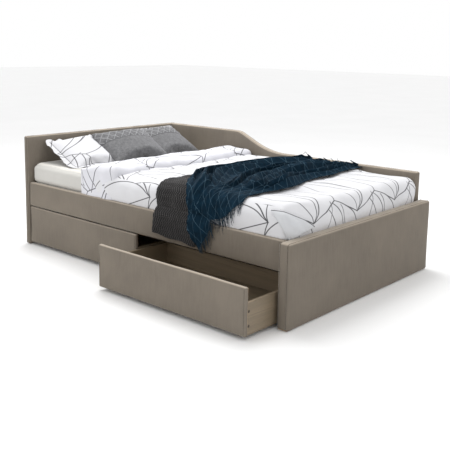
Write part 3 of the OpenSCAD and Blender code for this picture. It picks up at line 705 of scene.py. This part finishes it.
def make_mattress():
    """Ticking with a taped edge at the top and the bottom."""
    low, high = MATTRESS
    verts, faces, away = rounded_box(low, high, 0.025, 0.05)
    tufts = np.sin(verts[:, 0] * math.pi / 0.11) * np.sin(verts[:, 1] * math.pi / 0.11)
    flat = np.abs(away[:, 2]) > 0.99
    verts = verts - away * (flat * (0.0015 + 0.0015 * tufts))[:, None]
    obj = new_object("mattress_ticking", verts, faces, uv=verts[:, :2])
    finish_piece(obj, "mattress_fabric", replaces=("mattress",))
    corner, inset = 0.020, 0.012
    (left, front), (right, back) = low[:2] + corner, high[:2] - corner
    ring = []
    for quarter, centre in enumerate(((right, back), (left, back), (left, front), (right, front))):
        ring += arc(centre, corner - 0.004, 90 * quarter, 90 * quarter + 90, 6)
    ring.append(ring[0])
    parts = [tube([(*point, z) for point in ring], 0.003, 8) for z in (low[2] + inset, high[2] - inset)]
    finish_piece(new_object("mattress_tape", *merge(parts)), "mattress_fabric")


def make_fitted_sheet():
    """The sheet over the mattress, which swells over the rail and gathers at its corners."""
    low, high = np.array([SHEET[0][0] - 0.007, SHEET[0][1], MATTRESS[0][2] + 0.012]), SHEET[1]
    verts, faces, away = rounded_box(low, high, 0.040, 0.016)
    keep = [f for f in faces if not all(away[i][2] < -0.99 for i in f)]
    side = 1 - np.abs(away[:, 2])
    corner = high[0] - np.abs(verts[:, 0]) + high[1] - np.abs(verts[:, 1])
    gather = np.exp(-corner / 0.12)
    fold = waves((verts[:, 0] - verts[:, 1])[:, None], 0.035, 31, 5)
    depth = 0.0022 * side * (0.25 + gather) * fold + 0.0012 * waves(verts, 0.16, 32) * (1 - side)
    verts = verts + away * np.minimum(depth, 0.0025)[:, None]
    swell = 0.020 * smoothstep(verts[:, 2], RAIL[1][2] - 0.004, RAIL[1][2] + 0.02)
    verts[:, 1] -= swell * smoothstep(-verts[:, 1], 0.30, 0.58) * smoothstep(-away[:, 2], -0.98, -0.2)
    obj = new_object("fitted_sheet_cloth", verts, keep, uv=verts[:, [0, 1]] + verts[:, [2, 2]])
    finish_piece(obj, "sheet_cotton", replaces=("fitted_sheet",))


def unrolled(verts, away, radius):
    """UVs of a duvet in metres: its plan, carried on round its edges and down its sides."""
    core = verts - away * radius
    flat = np.linalg.norm(away[:, :2], axis=1)
    bend = radius * np.arccos(np.clip(away[:, 2], 0, 1))
    drop = np.maximum(core[:, 2].max() - core[:, 2], 0)
    share = away[:, :2] / np.maximum(flat, 1e-6)[:, None]
    return core[:, :2] + share * (bend + drop * (flat > 0.5))[:, None]


def hanging_box(low, high, radius, step):
    """Points, quads, outward normals and UVs of a rounded box with straight sides and no bottom."""
    verts, faces, away = rounded_box(low - [0, 0, 1.2 * radius], high, radius, step)
    verts[:, 2] = np.maximum(verts[:, 2], low[2])
    faces = [f for f in faces if any(verts[i][2] > low[2] + 1e-6 for i in f)]
    flat = np.maximum(np.linalg.norm(away[:, :2], axis=1, keepdims=True), 1e-6)
    level = verts[:, 2] <= low[2] + radius * 0.3
    away[level] = np.column_stack([away[level, :2] / flat[level], np.zeros(level.sum())])
    kept = sorted({i for f in faces for i in f})
    index = {old: new for new, old in enumerate(kept)}
    faces = [[index[i] for i in f] for f in faces]
    return verts[kept], faces, away[kept], unrolled(verts[kept], away[kept], radius)


def corner_points():
    """The three corners of the flat fold that the duvet makes at the foot's front corner."""
    low, high = DUVET
    return np.array([(high[0] - 0.108, low[1] - 0.006, high[2] - 0.018),
                     (high[0] + 0.003, low[1] + 0.182, low[2] + 0.024),
                     (high[0] - 0.006, low[1] + 0.002, low[2] - DUVET_TUCK)])


def flatten_corner(verts):
    """Presses what lies well beyond the plane of the folded corner back on to it."""
    a, b, c = corner_points() + [0.034, -0.034, 0.020]
    normal = np.cross(b - a, c - a)
    normal /= np.linalg.norm(normal)
    normal *= np.sign(normal[0])
    beyond = np.maximum((verts - a) @ normal, 0)
    return verts - normal * (0.8 * beyond)[:, None]


def make_duvet():
    """The spread duvet, which falls over the front and the foot to the top of the rail."""
    low, high = DUVET[0] + [0.06, -0.004, -DUVET_TUCK], DUVET[1] + [0.003, 0, 0.003]
    verts, faces, away, uv = hanging_box(low, high, 0.056, 0.014)
    top = np.clip(away[:, 2], 0, 1)
    side = 1 - top
    puff = top * (0.0045 * waves(verts[:, :2], 0.36, 41) + 0.0016 * waves(verts[:, :2], 0.10, 42))
    rise = (verts[:, 2] - low[2]) / (high[2] - low[2])
    belly = side * 0.009 * np.sin(np.clip(rise, 0, 1) * math.pi)
    hang = side * 0.0042 * waves(verts[:, :2], 0.14, 43) * smoothstep(rise, 0.0, 0.3)
    verts = flatten_corner(verts + away * (puff + belly + hang)[:, None])
    obj = new_object("duvet_spread", verts, faces, uv=uv)
    layer = obj.data.uv_layers[0].data
    for face in obj.data.polygons:
        if face.normal.y < -0.6:
            for loop in face.loop_indices:
                layer[loop].uv = layer[loop].uv + Vector(FRONT_PRINT)
    thicken(obj, 0.012)
    finish_piece(obj, "print_cotton", replaces=("duvet",))
    return obj


DUVET_TUCK = 0.0095
FRONT_PRINT = (0.189, -0.163)


def make_duvet_fold():
    """The head end of the duvet, folded back over itself in a thick soft roll."""
    low, high = FOLD[0] + [0.012, -0.013, 0], FOLD[1] + [0, 0, 0.013]
    low[2] = DUVET[0][2] - DUVET_TUCK
    verts, faces, away, uv = hanging_box(low, high, 0.042, 0.012)
    top = np.clip(away[:, 2], 0, 1)
    span = (verts[:, 0] - low[0]) / (high[0] - low[0])
    verts[:, 0] += 0.014 * waves(verts[:, 1:2], 0.7, 51) * smoothstep(span, 0.3, 1.0)
    head_end = -0.036 * (1 - smoothstep(span, 0.0, 0.45))
    puff = top * (head_end + 0.004 * waves(verts[:, :2], 0.24, 52) + 0.0018 * waves(verts[:, :2], 0.08, 53))
    hang = (1 - top) * 0.0035 * waves(verts[:, :2], 0.11, 54)
    verts = verts + away * hang[:, None]
    verts[:, 2] += puff
    obj = new_object("duvet_turned_back", verts, faces, uv=uv)
    thicken(obj, 0.012)
    finish_piece(obj, "print_cotton", look="print_cotton_fold", replaces=("duvet_fold",))


def make_dog_ear(duvet):
    """The duvet cover's corner, folded in as a flat triangle at the foot's front corner."""
    corner = corner_points()
    tree, _ = outer_surface(duvet)
    out = Vector((0.62, -0.62, 0.35)).normalized()
    count, width = 24, 0.17
    verts, faces, uv, index = [], [], [], {}
    for i in range(count + 1):
        for j in range(count + 1 - i):
            a, b = i / count, j / count
            c = 1 - a - b
            inside = max(min(a, b, c), 0)
            ripple = 0.0025 * math.sin(11 * a - 7 * b) * min(1, inside * 8)
            start = Vector(corner[0] * c + corner[1] * a + corner[2] * b) + out * 0.2
            hit = tree.ray_cast(start, -out, 0.4)[0] or start - out * 0.2
            index[i, j] = len(verts)
            verts.append(hit + out * (0.0085 + 0.005 * min(1, inside * 5) ** 0.5 + ripple))
            uv.append((width * b, width * a))
    for i in range(count):
        for j in range(count - i):
            faces.append([index[i, j], index[i + 1, j], index[i, j + 1]])
            if j < count - i - 1:
                faces.append([index[i + 1, j], index[i + 1, j + 1], index[i, j + 1]])
    obj = new_object("duvet_tucked_corner", verts, faces, uv=uv)
    smooth_more(obj)
    thicken(obj, 0.006)
    finish_piece(obj, "print_cotton", look="plain_cotton")


def pillow_bag(name, width, length, step=0.0125):
    """Two sheets of cloth sewn together round their edge, lying flat in the XY plane."""
    nx, ny = round(width / step) + 1, round(length / step) + 1
    xs, ys = np.linspace(-width / 2, width / 2, nx), np.linspace(-length / 2, length / 2, ny)
    plan = np.array([(x, y) for y in ys for x in xs])
    rim = np.array([i in (0, nx - 1) or j in (0, ny - 1) for j in range(ny) for i in range(nx)])
    top = np.column_stack([plan, np.where(rim, 0, 0.003)])
    below = np.column_stack([plan, np.where(rim, 0, -0.003)])[~rim]
    lower = np.arange(nx * ny)
    lower[~rim] = nx * ny + np.arange((~rim).sum())
    faces = grid_faces(ny, nx)
    faces = faces + [[int(lower[i]) for i in f][::-1] for f in faces]
    obj = new_object(name, np.concatenate([top, below]), faces, uv=np.concatenate([plan, plan[~rim]]))
    loop = list(range(nx)) + [j * nx + nx - 1 for j in range(1, ny)]
    loop += [(ny - 1) * nx + i for i in range(nx - 2, -1, -1)] + [j * nx for j in range(ny - 2, 0, -1)]
    return obj, loop


def add_flange(obj, loop, width, seed):
    """A flat border round a pillow case, which waves and crumples at its corners."""
    co = points_of(obj)
    rim = co[loop]
    outward = np.cross(unit(np.roll(rim, -1, axis=0) - np.roll(rim, 1, axis=0)), [0, 0, 1.0])
    outward *= np.sign(np.sum(outward * (rim - rim.mean(0)), axis=1))[:, None]
    rings, n = [co], len(loop)
    for share in (0.5, 1.0):
        flutter = waves(rim[:, :2], 0.05, seed) * width * 0.35 * share
        rings.append(rim + outward * width * share + np.array([0, 0, 1.0]) * flutter[:, None])
    faces = [list(p.vertices) for p in obj.data.polygons]
    faces += bands([loop] + [range(start, start + n) for start in (len(co), len(co) + n)])
    verts = np.concatenate(rings)
    name = obj.name
    bpy.data.objects.remove(obj)
    return new_object(name, verts, faces, uv=verts[:, :2])


def place(obj, origin, right, up):
    """Puts a pillow's own X and Y along two directions of the bed."""
    right, up = Vector(right).normalized(), Vector(up).normalized()
    out = right.cross(up).normalized()
    up = out.cross(right)
    set_points(obj, points_of(obj) @ np.array(Matrix((right, up, out))) + origin)


def rest_on(obj, floor, wall):
    """Flattens a pillow where it meets the sheet and the headboard."""
    co = points_of(obj)
    soft = 0.02
    for axis, plane in ((2, floor), (0, wall)):
        gap = co[:, axis] - plane
        co[:, axis] = plane + np.where(gap < soft, soft * np.exp((gap - soft) / soft), gap)
    set_points(obj, co)


def quilt_top_band(obj, length):
    """Pinched diamonds over the upper part of a cushion, down to a seam."""
    co, mesh = points_of(obj), obj.data
    plan = np.zeros((len(co), 2))
    plan[read(mesh.loops, "vertex_index", kind=int)] = read(mesh.uv_layers[0].data, "uv", 2)
    a = (plan[:, 0] + plan[:, 1] - QUILT_SEAM) / QUILT_PITCH
    b = (plan[:, 0] - plan[:, 1] + QUILT_SEAM) / QUILT_PITCH
    line = np.minimum(np.abs(a - np.round(a)), np.abs(b - np.round(b))) * 2
    tuft = np.minimum(line * 2.2, 1) * smoothstep(plan[:, 1], QUILT_SEAM, QUILT_SEAM + 0.01)
    groove = np.exp(-((plan[:, 1] - QUILT_SEAM) / 0.008) ** 2)
    inside = smoothstep(length / 2 - np.abs(plan[:, 1]), 0.0, 0.02)
    normals = read(mesh.vertex_normals, "vector", 3)
    set_points(obj, co + normals * ((0.0045 * tuft - 0.003 * groove) * inside)[:, None])


# Each pillow's flat size, flange, place in its CAD box from head to foot (0 to 1) and offset from there,
# the way of its width, and the slope in degrees that it leans at.
PILLOWS = {
    "white_pillow_front": ((0.40, 0.36), 0.030, 0, (0.170, 0.030, 0.064), (0.13, 1, 0.03), 21),
    "white_pillow_back": ((0.44, 0.15), 0.016, 0.5, (0.012, -0.035, 0.070), (0, 1, 0), 76),
    "grey_pillow_left": ((0.47, 0.345), 0, 1, (-0.135, -0.020, 0.084), (0.05, 1, 0), 29),
    "grey_pillow_right": ((0.42, 0.335), 0, 1, (-0.170, -0.020, 0.078), (-0.03, 1, 0), 28),
}


def make_pillows():
    """Four pillows, blown up from flat bags, then leaned on the headboard."""
    surface, wall = SHEET[1][2], HEAD[1][0] + 0.003
    bags = [pillow_bag(node + "_cloth", *row[0]) for node, row in PILLOWS.items()]
    blow_up([bag for bag, _ in bags])
    for seed, (node, (obj, loop)) in enumerate(zip(PILLOWS, bags), 91):
        size, flange, share, offset, along, slope = PILLOWS[node]
        slot, look = ("print_cotton", "print_cotton_pillow") if flange else ("grey_quilting", None)
        if flange:
            obj = add_flange(obj, loop, flange, seed)
        else:
            quilt_top_band(obj, size[1])
        low, high = box(node)
        origin = low[0] + (high[0] - low[0]) * share, (low[1] + high[1]) / 2, surface
        slope = math.radians(slope)
        place(obj, np.add(origin, offset), along, (-math.cos(slope), 0, math.sin(slope)))
        rest_on(obj, surface + 0.001, wall)
        smooth_more(obj)
        finish_piece(obj, slot, look=look, replaces=(node,))


# ---- throw and blanket

def drape_profile():
    """Points in Y and Z from the front over the bed to the back panel, and their way from its middle."""
    top = DUVET[1][2] + 0.006
    panel = BACK[0][1] - 0.012
    low_back = float(top_of_back(0.5))
    front = DUVET[0][1] - 0.006
    outer = RAIL[0][1] - 0.007
    ledge = RAIL[1][2]
    path = [(BACK[1][1] - 0.012, low_back + 0.008)]
    path += arc((panel + 0.02, low_back - 0.012), 0.02, 90, 180, 6)
    path += arc((panel - 0.03, top + 0.03), 0.03, 0, -90, 6)
    path += arc((front + 0.06, top - 0.06), 0.06, 90, 180, 10)
    path += [(front, ledge + 0.04), (front - 0.004, ledge + 0.024), (outer + 0.008, ledge + 0.008)]
    path += [(outer, ledge - 0.012), (outer, 0.15)]
    along = distances(path)
    steps = np.arange(0, along[-1], 0.004)
    dense = smoothed(between(steps, along, path), np.ones(5), mode="edge")
    middle = steps[np.argmin(np.abs(dense[:, 0]))]
    return dense[::-1], (middle - steps)[::-1]


PROFILE, PROFILE_W = drape_profile()


def wrap(x, w, h):
    """Points h above the bed's surface, w along it from its middle towards the back."""
    out = unit(np.gradient(PROFILE, axis=0))[:, ::-1] * [-1, 1]
    return np.column_stack([x, between(w, PROFILE_W, PROFILE) + between(w, PROFILE_W, out) * h[:, None]])


def w_of_height(z):
    """Where on the bed's front the surface has that height."""
    front = PROFILE_W < -0.5
    order = np.argsort(PROFILE[front, 1])
    return float(np.interp(z, PROFILE[front, 1][order], PROFILE_W[front][order]))


def cloth_grid(width, length, step):
    """Rows, columns and quads of a cloth, and each point's share of its width and length."""
    columns, rows = round(width / step), round(length / step)
    u, v = np.meshgrid(np.linspace(0, 1, columns), np.linspace(0, 1, rows))
    return rows, columns, grid_faces(rows, columns), u.ravel(), v.ravel()


def make_throw(duvet):
    """A knitted throw, folded to a band, with zigzag ribs."""
    x0, x1 = THROW[0][0] + 0.004, THROW[1][0] - 0.002
    hem, start = w_of_height(THROW[0][2] + 0.012), -0.10
    _, _, faces, u, v = cloth_grid(x1 - x0, start - hem, 0.0028)
    w = start + (hem - start) * v
    across = (x1 - x0) * u
    x = x0 + across + 0.010 * np.sin(v * 9.0 + 0.6) * (0.4 + v) + 0.012 * v
    w = w - 0.018 * u * v + 0.004 * np.sin(u * 12)
    zigzag = np.abs(((w / 0.018) % 2) - 1) * 0.012
    phase = (across + zigzag) / 0.0148 * 2 * math.pi
    ridge = 0.5 + 0.5 * np.sin(phase)
    stitch = 0.75 + 0.25 * np.sin(w / 0.0055 * 2 * math.pi)
    sway = 0.004 * np.sin(u * 7 + 1.0) * smoothstep(-w, 0.62, 0.9)
    sway += 0.003 * waves(np.column_stack([x, w]), 0.15, 61)
    edge = np.minimum(u, 1 - u) * (x1 - x0)
    rounding = -0.004 * np.exp(-edge / 0.006)
    h = 0.005 + 0.0042 * ridge * stitch + sway * 0.7 + rounding
    under = clear_of(wrap(x, w, np.full(len(x), 0.004)), [duvet], 0.003)
    up = wrap(x, w, h) - wrap(x, w, np.zeros(len(x)))
    flat = np.column_stack([across, w])
    obj = new_object("knitted_throw_cloth", under + up, faces, uv=flat)
    # the ribs' tops, which the knit's material uses for its painted light and shade
    layer = obj.data.attributes.new("ridge", "FLOAT", "POINT")
    layer.data.foreach_set("value", (ridge * stitch) ** 3.2)
    thicken(obj, 0.004)
    finish_piece(obj, "charcoal_knit", replaces=("knitted_throw",))
    return obj


def along_curve(points, share):
    """Points at these shares of a smooth curve through a list of points."""
    knots = distances(points)
    fine = np.linspace(0, 1, 400)
    curve = between(fine, knots / knots[-1], points)
    return between(share, fine, smoothed(curve, np.hanning(41), mode="reflect", reflect_type="odd"))


FOLD_COUNT = 13
BLANKET_CUT = (1.0, 1.6)    # guess: the part of a throw that shows, 1.6 m being the covered length


def fold_shape(k):
    """Place across the blanket, height, half width and lean of its long fold number k."""
    tall = 0.046 + 0.012 * math.sin(2.4 * k)
    return (k + 0.5) / FOLD_COUNT + 0.008 * math.cos(1.7 * k), tall, 0.024, 0.8 * math.sin(1.3 * k + 0.6)


def blanket_outline():
    """The blanket's left edge, right edge and hem, each as X and the way along the bed's surface."""
    tip = BLANKET[0][2] + 0.002
    left = [(0.522, w_of_height(tip)), (0.560, w_of_height(tip + 0.05)), (0.597, w_of_height(tip + 0.10)),
            (0.608, w_of_height(0.42)), (0.618, w_of_height(0.50)), (0.66, -0.59), (0.77, -0.48),
            (0.85, -0.37), (0.90, -0.19), (0.90, 0.02), (0.86, 0.25), (0.80, 0.42), (0.80, 0.57),
            (0.81, 0.64)]
    right = [(0.262, w_of_height(0.535)), (0.270, -0.58), (0.27, -0.42), (0.24, -0.26), (0.28, -0.14),
             (0.33, 0.07), (0.31, 0.20), (0.34, 0.42), (0.36, 0.58), (0.37, 0.64)]
    hem = [(from_foot, w_of_height(z)) for from_foot, z in
           ((0.507, tip), (0.428, 0.395), (0.440, 0.412), (0.350, 0.463), (0.262, 0.535))]
    foot = MATTRESS[1][0]
    return [[(foot - from_foot, w) for from_foot, w in edge] for edge in (left, right, hem)]


def make_blanket(resting):
    """A plaid blanket gathered into long folds across the bed, ending in a corner at the front."""
    left, right, hem = blanket_outline()
    width, length = BLANKET_CUT
    rows, columns, faces, u, v = cloth_grid(width, length, 0.0062)
    flat = np.column_stack([u * width, v * length])
    a, b = along_curve(left, v), along_curve(right, v)
    lively = 0.10 + 0.90 * smoothstep(v, 0.12, 0.32)
    s, height = u.copy(), np.zeros(len(u))
    for k in range(FOLD_COUNT):
        place_at, tall, wide, lean = fold_shape(k)
        wander = 0.010 * waves(v[:, None], 0.8, 100 + k) * lively
        swell = np.clip(1 + 0.30 * waves(v[:, None], 0.55, 120 + k), 0.45, 1.4)
        bump = np.exp(-np.abs((u - place_at - wander) / wide) ** 1.6) * swell * lively
        height += tall * bump
        s += lean * 0.050 * bump
    loop = np.exp(-((u - 0.17) / 0.07) ** 2 - ((v - 0.23) / 0.06) ** 2)
    height += 0.040 * loop
    s += 0.05 * loop
    crease = np.exp(-((u - 0.42) / 0.05) ** 2) * (1 - smoothstep(v, 0.10, 0.24))
    height += 0.012 * crease + 0.010 * np.exp(-((u - 0.10) / 0.07) ** 2) * (1 - smoothstep(v, 0.16, 0.26))
    long_way = flat * [1.0, 0.22]
    height += lively * (0.006 * waves(long_way, 0.10, 74) + 0.0015 * waves(flat, 0.07, 75))
    plan = a + (b - a) * np.clip(s, -0.05, 1.06)[:, None]
    below = between(u, [0.0, 0.34, 0.40, 0.72, 1.0], hem)
    straight = a[0] + (b[0] - a[0]) * u[:, None]
    plan += (below - straight) * (1 - smoothstep(v, 0, 0.32))[:, None]
    plan += np.column_stack([waves(flat, 0.24, 76), waves(flat, 0.28, 77)]) * 0.006 * lively[:, None]
    height *= 1 - 0.25 * smoothstep(v, 0.40, 0.62)
    edge = np.minimum(u, 1 - u)
    height = np.maximum(height, 0) * (0.15 + 0.85 * smoothstep(edge, 0, 0.035))
    co = wrap(plan[:, 0], plan[:, 1], 0.010 + height)
    co[:, 2] = np.maximum(co[:, 2], BLANKET[0][2])
    obj = new_object("plaid_blanket_cloth", co, faces, uv=flat)
    relax(obj)
    co = clear_of(points_of(obj), resting, 0.009)
    set_points(obj, co)
    fringe = make_fringe(co.reshape(rows, columns, 3))
    smooth_more(obj)
    thicken(obj, 0.0016, 0)
    finish_piece(obj, "teal_plaid", replaces=("plaid_blanket",))


def relax(obj):
    """Smooths a cloth a little, so that no crease is too sharp for wool."""
    edges = read(obj.data.edges, "vertices", 2, int)
    co = points_of(obj)
    total = np.zeros_like(co)
    np.add.at(total, edges[:, 0], co[edges[:, 1]])
    np.add.at(total, edges[:, 1], co[edges[:, 0]])
    count = np.bincount(edges.ravel(), minlength=len(co))[:, None]
    set_points(obj, co * 0.5 + total / count * 0.5)


def make_fringe(grid):
    """Short twisted threads along the two ends of the blanket."""
    rng = np.random.default_rng(81)
    parts = []
    for edge, inner in ((grid[0], grid[2]), (grid[-1], grid[-3])):
        count = 130
        at = np.linspace(0, len(edge) - 1, count)
        index = np.arange(len(edge))
        for root, way in zip(between(at, index, edge), unit(between(at, index, edge - inner))):
            length = rng.uniform(0.020, 0.034)
            lean = rng.normal(0, 0.25, 3)
            steps = np.linspace(0, 1, 5)[:, None]
            path = root + (way + lean) * steps * length + np.array([0, 0, -0.9]) * steps ** 2 * length
            path[:, 2] = np.maximum(path[:, 2], BLANKET[0][2])
            parts.append(tube(path, np.linspace(0.0011, 0.0006, 5), 5))
    obj = new_object("plaid_blanket_fringe", *merge(parts))
    finish_piece(obj, "teal_plaid", look="teal_yarn")
    return obj


# ---- studio

def make_floor():
    size = 30.0
    obj = new_object("floor", [(-size, -size, 0), (size, -size, 0), (size, size, 0), (-size, size, 0)],
                     [[0, 1, 2, 3]])
    look = Look("pale_floor", (0.86, 0.86, 0.86), 0.7, Specular_IOR_Level=0.2)
    look.vary(look.ramp(look.noise(look.coordinates(), 1.2, 3)), (0.92, 0.92, 0.92), (0.94, 0.94, 0.94))
    obj.data.materials.append(look.material)


def area_light(name, place_at, aim, size, power):
    data = bpy.data.lights.new(name, "AREA")
    data.shape, data.size, data.energy = "DISK", size, power
    obj = add_object(name, data)
    obj.location = place_at
    obj.rotation_euler = (Vector(aim) - Vector(place_at)).to_track_quat("-Z", "Y").to_euler()


def make_lights():
    area_light("top_softbox", (-0.9, 0.5, 3.4), (0, 0, 0.4), 2.8, 95)
    area_light("front_fill", (-2.2, -4.6, 1.6), (-0.3, -0.5, 0.3), 2.6, 20)
    world = bpy.data.worlds.new("studio")
    world.use_nodes = True
    world.node_tree.nodes["Background"].inputs["Color"].default_value = (1, 1, 1, 1)
    SCENE.world = world
    SCENE.view_settings.view_transform = "Standard"


def make_camera():
    """A long view from the foot's front corner, with a small upward shift of the frame."""
    data = bpy.data.cameras.new("camera")
    data.sensor_width, data.lens, data.shift_y = 36.0, 58.97, -0.1444
    yaw, pitch, roll = (math.radians(a) for a in (41.392, 8.855, 0.958))
    turned = Matrix.Rotation(yaw, 4, "Z") @ Matrix.Rotation(math.pi / 2 - pitch, 4, "X")
    SCENE.camera = add_object("camera", data)
    turned = turned @ Matrix.Rotation(roll, 4, "Z")
    SCENE.camera.matrix_world = Matrix.Translation((2.952, -3.268, 1.281)) @ turned


make_camera()
dress_cad_nodes()
make_end_panels()
make_back_panel()
padded_panel("side_rail", 9)
make_drawer_fronts()
make_mattress()
make_fitted_sheet()
duvet = make_duvet()
make_dog_ear(duvet)
make_duvet_fold()
make_pillows()
throw = make_throw(duvet)
panels = [bpy.data.objects[panel + "_upholstery"] for panel in ("side_rail", "back_panel")]
make_blanket([duvet, throw] + panels)
make_floor()
make_lights()

bpy.context.view_layer.update()
